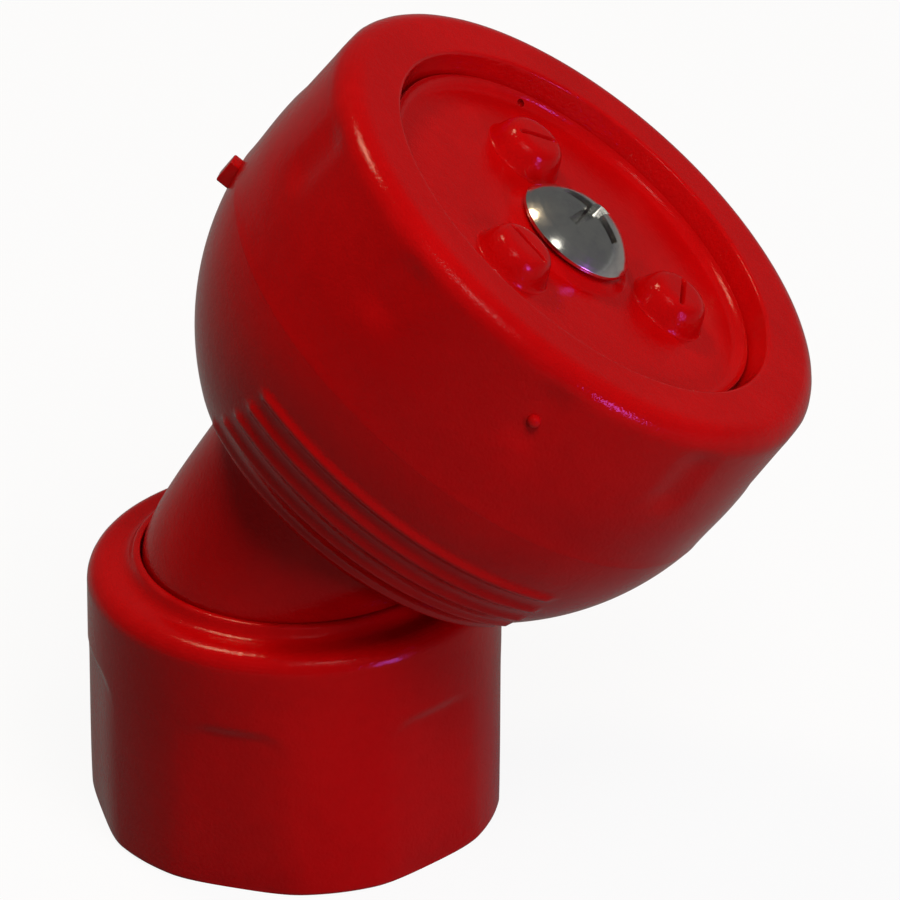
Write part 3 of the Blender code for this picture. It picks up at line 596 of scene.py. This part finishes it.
# screw cap with shallow round-ended grip flutes and one small pip
def makeCap():
    c = cap
    corners = [(c["topRadius"], c["top"], c["rimRound"]), (c["radius"], c["low"], c["lowRound"])]
    corners += [(c["bore"], c["low"], c["boreRound"]), (c["bore"], c["lipLow"], c["boreRound"])]
    corners += [(c["lipInner"], c["lipLow"], c["lipInnerRound"]), (c["lip"], c["top"], c["lipRound"])]
    bm = turnRows(denseRing(outline(corners), c["rowStep"]), c["spinSteps"])
    pitch = math.tau / c["flutes"]
    phase = math.radians(c["flutePhase"])
    middle = (c["radius"] + c["topRadius"]) / 2
    for v in bm.verts:
        s = v.co.z
        if math.hypot(v.co.x, v.co.y) <= c["bore"] + c["skinWall"]:
            continue
        if s < c["tuckTop"]:
            pullIn(v, c["tuck"] * smoothStep(c["tuckTop"], c["low"], s))
        elif c["fluteLow"] < s < c["fluteHigh"]:
            off = offsetFrom(facing(v.co.x, v.co.y), phase, pitch)
            across = min(abs(off) * middle / c["fluteHalf"], 1)
            ends = smoothStep(0, c["fluteEnd"], min(s - c["fluteLow"], c["fluteHigh"] - s))
            pullIn(v, c["fluteDepth"] * (0.5 + 0.5 * math.cos(math.pi * across)) * ends)
    pip = bmesh.new()
    bmesh.ops.create_icosphere(pip, subdivisions=meshing["ballSteps"], radius=c["pip"])
    where = around(phase, middle - c["fluteDepth"], c["pipRise"])
    bmesh.ops.translate(pip, vec=where, verts=pip.verts)
    bm = combine(bm, pip, "UNION")
    finishPiece(bm, "faceCap", "cap", ["face_cap"], redPlastic, headPlace)


plate = dict(radius=20.3, top=9.5, low=6.6, edgeRound=0.1, ledge=9.28, face=17.08, faceFillet=1.1,
             faceEdge=0.30, faceTip=0.04, faceFoot=0.06, tipRound=0.015, bossRadius=4.6, bossTop=10.2,
             bossRound=0.3, bossFlare=1.1, flareRound=1.0, bore=2.95, boreRound=0.15, gland=4.3, glandLow=7.2,
             glandHigh=8.9, dimple=0.4, dimpleCircle=16.7, dimpleAngle=-156, holeGap=0.3, holeDepth=6,
             holeSteps=64, edgeStep=0.1, rowStep=0.6, spinSteps=240)
jet = dict(circle=9.7, phase=-26, count=3, radius=3.4, seat=9.51, edge=0.01, rise=2.2, swell=3.7, shank=2.0,
           tail=6.2, bore=0.16, slitWidth=0.32, slitWalls=(0.85, 0.25), slitLength=4.2, slitDepth=0.6,
           slitFade=(0.15, 0.6), domeRows=60, rowStep=0.09, spinSteps=216)


def jetAngles():
    return [math.radians(jet["phase"]) + math.tau * i / jet["count"] for i in range(jet["count"])]


# face plate: centre boss for the screw, turned-up edge, three seats and a gate mark
def makePlate():
    p = plate
    fillet = p["faceFillet"]
    start = p["face"] - fillet * math.cos(p["faceEdge"])
    rise = arcRows(start, p["top"] + fillet, fillet, -math.pi / 2, -p["faceEdge"], p["edgeStep"])
    corners = [(p["bore"], p["bossTop"], p["boreRound"]), (p["bossRadius"], p["bossTop"], p["bossRound"])]
    corners += [(p["bossRadius"] + p["bossFlare"], p["top"], p["flareRound"])]
    corners += [(r, z, 0) for r, z in rise]
    corners += [(p["face"] + p["faceTip"], rise[-1][1], p["tipRound"])]
    corners += [(p["face"] + p["faceFoot"], p["ledge"], 0)]
    corners += [(p["radius"], p["ledge"], p["edgeRound"]), (p["radius"], p["low"], p["edgeRound"])]
    corners += [(p["bore"], p["low"], 0), (p["bore"], p["glandLow"], 0), (p["gland"], p["glandLow"], 0)]
    corners += [(p["gland"], p["glandHigh"], 0), (p["bore"], p["glandHigh"], 0)]
    bm = turnRows(denseRing(outline(corners), p["rowStep"]), p["spinSteps"])
    tool = bmesh.new()
    wide = jet["shank"] + p["holeGap"]
    for angle in jetAngles():
        hole = bmesh.ops.create_cone(tool, cap_ends=True, segments=p["holeSteps"], depth=p["holeDepth"],
                                     radius1=wide, radius2=wide)["verts"]
        where = around(angle, jet["circle"], (p["top"] + p["low"]) / 2)
        bmesh.ops.translate(tool, vec=where, verts=hole)
    dot = bmesh.ops.create_icosphere(tool, subdivisions=meshing["ballSteps"], radius=p["dimple"])["verts"]
    where = around(math.radians(p["dimpleAngle"]), p["dimpleCircle"], p["top"])
    bmesh.ops.translate(tool, vec=where, verts=dot)
    bm = combine(bm, tool, "DIFFERENCE")
    finishPiece(bm, "nozzlePlate", "plate", ["nozzle_plate"], redPlastic, headPlace)


# button-shaped outlets, each with a slit across it
def makeJets():
    j = jet
    outer, inner = j["slitWalls"]
    low, full = j["slitFade"]
    for i, angle in enumerate(jetAngles()):
        rows = []
        for k in range(j["domeRows"] + 1):
            r = j["bore"] + (j["radius"] - j["bore"]) * k / j["domeRows"]
            swell = 0.5 + 0.5 * math.cos(math.pi * (r / j["radius"]) ** j["swell"])
            rows.append((r, j["seat"] + j["edge"] + j["rise"] * swell))
        rows += [(j["radius"], j["seat"]), (j["shank"], j["seat"])]
        rows += [(j["shank"], j["tail"]), (j["bore"], j["tail"])]
        bm = turnRows(denseRing(rows, j["rowStep"]), j["spinSteps"])
        for v in bm.verts:
            high = (v.co.z - j["seat"]) / j["rise"]
            if high > low:
                across = smoothStep(j["slitWidth"] * outer, j["slitWidth"] * inner, abs(v.co.x))
                along = smoothStep(j["slitLength"] / 2, j["slitLength"] / 3, abs(v.co.y))
                v.co.z -= j["slitDepth"] * across * along * smoothStep(low, full, high)
        turn = Matrix.Rotation(angle - math.pi / 2, 4, "Z")
        shift = Matrix.Translation(around(angle, j["circle"]))
        finishPiece(bm, "jetNozzle%d" % (i + 1), "plate", ["jet_nozzle_%d" % (i + 1)], redPlastic,
                    headPlace @ shift @ turn)


screw = dict(headRadius=5.0, seat=10.5, height=2.6, rim=0.3, rimRound=0.12, seatRound=0.08, shank=2.35,
             tip=-5.5, clipLow=5.3, clipHigh=6.6, groove=0.5, crossSpan=7.0, crossWidth=1.1, crossDepth=1.5,
             crossOver=1.0, spanTaper=(0.62, 1.25), widthTaper=(0.75, 1.15), crossPhase=-26, crease=30,
             domeStep=0.2, domeCut=3, rowStep=0.8, spinSteps=160)


# round-head screw: low dome with a tapered cross recess
def makeScrew():
    c = screw
    rim = c["seat"] + c["rim"]
    rise = c["height"] - c["rim"]
    top = rim + rise
    crown = (c["headRadius"] ** 2 + rise ** 2) / (2 * rise)
    centre = top - crown
    dome = arcRows(0, centre, crown, math.pi / 2, math.asin((rim - centre) / crown), c["domeStep"])
    inner = c["shank"] - c["groove"]
    last = -c["domeCut"]
    corners = [dome[last] + (0,), (c["headRadius"], rim, c["rimRound"])]
    corners += [(c["headRadius"], c["seat"], c["seatRound"]), (c["shank"], c["seat"], 0)]
    corners += [(c["shank"], c["clipHigh"], 0), (inner, c["clipHigh"], 0), (inner, c["clipLow"], 0)]
    corners += [(c["shank"], c["clipLow"], 0), (c["shank"], c["tip"] + c["groove"], 0)]
    corners += [(inner, c["tip"], 0), (0, c["tip"], 0)]
    rows = [(0, top)] + dome[1:last] + dense(outline(corners), c["rowStep"])
    bm = turnRows(rows, c["spinSteps"], closed=False)
    for turn in (c["crossPhase"], c["crossPhase"] + 90):
        tool = bmesh.new()
        bmesh.ops.create_cube(tool, size=1)
        for v in tool.verts:
            upper = v.co.z > 0
            v.co.x *= c["crossSpan"] * c["spanTaper"][upper]
            v.co.y *= c["crossWidth"] * c["widthTaper"][upper]
            v.co.z = top + (c["crossOver"] if upper else -c["crossDepth"])
        turnTool(tool, math.radians(turn))
        bm = combine(bm, tool, "DIFFERENCE")
    finishPiece(bm, "centreScrew", "plate", ["centre_screw"], brightSteel, headPlace, c["crease"])


gasket = dict(bore=8.5, radius=12.9, low=10.37, high=12.97, round=0.35, rowStep=0.5, spinSteps=160)
strainer = dict(flange=9.3, flangeRounds=(0.15, 0.2), tube=7.7, wall=0.8, low=13.57, flangeTop=14.57,
                top=20.07, topRound=0.6, footRound=0.2, mouthRound=0.25, innerRound=0.4, slots=8,
                slotWidth=1.1, slotLow=15.37, slotHigh=18.47, slotRound=0.4, slotOver=2, rowStep=0.6,
                spinSteps=160)


def makeGasket():
    g = gasket
    ends = ((g["bore"], g["high"]), (g["radius"], g["high"]), (g["radius"], g["low"]), (g["bore"], g["low"]))
    rows = denseRing(outline([(r, z, g["round"]) for r, z in ends]), g["rowStep"])
    finishPiece(turnRows(rows, g["spinSteps"]), "pipeGasket", "nut", ["pipe_gasket"], blackRubber)


# slotted thimble in the neck's mouth
def makeStrainer():
    t = strainer
    inner = t["tube"] - t["wall"]
    roof = t["top"] - t["wall"]
    upperRound, lowerRound = t["flangeRounds"]
    corners = [(0, t["top"], 0), (t["tube"], t["top"], t["topRound"])]
    corners += [(t["tube"], t["flangeTop"], t["footRound"]), (t["flange"], t["flangeTop"], upperRound)]
    corners += [(t["flange"], t["low"], lowerRound), (inner, t["low"], t["mouthRound"])]
    corners += [(inner, roof, t["innerRound"]), (0, roof, 0)]
    bm = turnRows(dense(outline(corners), t["rowStep"]), t["spinSteps"], closed=False)
    size = (2 * t["tube"] + t["slotOver"], t["slotWidth"], t["slotHigh"] - t["slotLow"])
    for i in range(t["slots"] // 2):
        tool = bmesh.new()
        bmesh.ops.create_cube(tool, size=1)
        bmesh.ops.scale(tool, vec=size, verts=tool.verts)
        bmesh.ops.translate(tool, vec=(0, 0, (t["slotHigh"] + t["slotLow"]) / 2), verts=tool.verts)
        lengthwise = [e for e in tool.edges if abs(e.verts[0].co.x - e.verts[1].co.x) > 1]
        roundEdges(tool, lengthwise, t["slotRound"])
        turnTool(tool, math.tau * i / t["slots"])
        bm = combine(bm, tool, "DIFFERENCE")
    finishPiece(bm, "inletStrainer", "elbow", ["inlet_strainer"], whitePlastic)


makeNut()
makeElbow()
makeCap()
makePlate()
makeJets()
makeScrew()
makeGasket()
makeStrainer()

# inner pieces keep their drawn shape
innerFinish = {"lock_ring": brightSteel, "screw_clip": brightSteel, "slip_washer": whitePlastic,
               "spider_guide": whitePlastic, "throttle_plug": whitePlastic, "neck_o_ring": blackRubber,
               "plate_seal": blackRubber, "screw_o_ring": blackRubber, "plug_pad": blackRubber,
               "seat_ring": yellowBrass}
for name, finish in innerFinish.items():
    frame["nodes"][name].material_slots[0].material = finish.material
print("inner pieces finished")


stage = dict(floor=1.6, tone=0.95, bounce=0.22, glow=0.92, ambient=0.11, wall=0.4, ceiling=0.11,
             horizon=(-0.05, 0.03), mirror=0.12)


# pale floor: white to the camera, dimmer in reflections and as a source of light
def makeFloor():
    pale = Finish("paleFloor")
    camera, gloss, through = pale.rays()
    seen = (camera + (gloss + through) * stage["mirror"]).clamp(0, 1)
    shade = pale.blend(camera, (stage["bounce"],) * 3, (stage["tone"],) * 3)
    paint = pale.node("ShaderNodeBsdfDiffuse", None, {"Color": shade})
    glow = pale.node("ShaderNodeEmission", None, {"Color": (1, 1, 1), "Strength": 1.0})
    both = pale.node("ShaderNodeMixShader", None,
                     {"Fac": seen * stage["glow"], "Shader": paint, "Shader_001": glow})
    pale.node("ShaderNodeOutputMaterial", None, {"Surface": both})
    bm = bmesh.new()
    bmesh.ops.create_grid(bm, x_segments=1, y_segments=1, size=stage["floor"])
    mesh = bpy.data.meshes.new("paleFloor")
    bm.to_mesh(mesh)
    bm.free()
    mesh.materials.append(pale.material)
    floor = bpy.data.objects.new("paleFloor", mesh)
    scene.collection.objects.link(floor)


# white to the camera; reflections see a grey wall under a darker ceiling
def makeRoom():
    world = bpy.data.worlds.new("studio")
    scene.world = world
    world.use_nodes = True
    room = Shader(world.node_tree)
    camera, gloss, through = room.rays()
    mirror = (gloss + through).clamp(0, 1)
    up = room.parts(room.node("ShaderNodeTexCoord", None, None, "Generated"))[2]
    wall = stage["wall"] - up.step(*stage["horizon"]) * (stage["wall"] - stage["ceiling"])
    strength = camera + (1 - camera) * (mirror * wall + (1 - mirror) * stage["ambient"])
    sky = room.node("ShaderNodeBackground", None, {"Color": (1, 1, 1), "Strength": strength})
    room.node("ShaderNodeOutputWorld", None, {"Surface": sky})
    print("stage set")


lampTarget = (0.010, 0, 0.035)
lamps = dict(key=dict(place=(0.220, -0.315, 0.623), size=0.40, power=2.3, tint=(1.0, 0.97, 0.93),
                      mirrored=False),
             warm=dict(place=(-0.183, 0.178, 0.683), size=0.16, power=1.45, tint=(1.0, 0.76, 0.48),
                       mirrored=True),
             spark=dict(place=(0.205, -0.293, 0.582), size=0.13, power=0.25, tint=(1.0, 0.95, 0.85),
                        mirrored=True),
             violet=dict(place=(0.591, -0.389, 0.080), size=0.16, power=1.5, tint=(0.60, 0.14, 1.0),
                         mirrored=True))


# the key lamp is left out of reflections, and the small ones make the glints
def makeLamps():
    target = Vector(lampTarget)
    for name, lamp in lamps.items():
        data = bpy.data.lights.new(name, "AREA")
        data.shape = "DISK"
        data.size = lamp["size"]
        data.energy = lamp["power"]
        data.color = lamp["tint"]
        obj = bpy.data.objects.new(name, data)
        obj.location = lamp["place"]
        obj.rotation_euler = (target - obj.location).to_track_quat("-Z", "Y").to_euler()
        obj.visible_glossy = lamp["mirrored"]
        scene.collection.objects.link(obj)
    print("lamps set")


view = dict(place=(0.08707, -0.66231, 0.39760), azimuth=6.431, elevation=28.741, roll=0.21, lens=385.9,
            sensor=36, clip=0.05)


def makeCamera():
    data = bpy.data.cameras.new("camera")
    data.lens = view["lens"]
    data.sensor_width = view["sensor"]
    data.clip_start = view["clip"]
    obj = bpy.data.objects.new("camera", data)
    a = math.radians(view["azimuth"])
    e = math.radians(view["elevation"])
    ahead = Vector((-math.sin(a) * math.cos(e), math.cos(a) * math.cos(e), -math.sin(e)))
    roll = Matrix.Rotation(math.radians(view["roll"]), 3, "Z").to_quaternion()
    obj.location = view["place"]
    obj.rotation_euler = (ahead.to_track_quat("-Z", "Y") @ roll).to_euler()
    scene.collection.objects.link(obj)
    scene.camera = obj
    print("camera set")


makeFloor()
makeRoom()
makeLamps()
makeCamera()
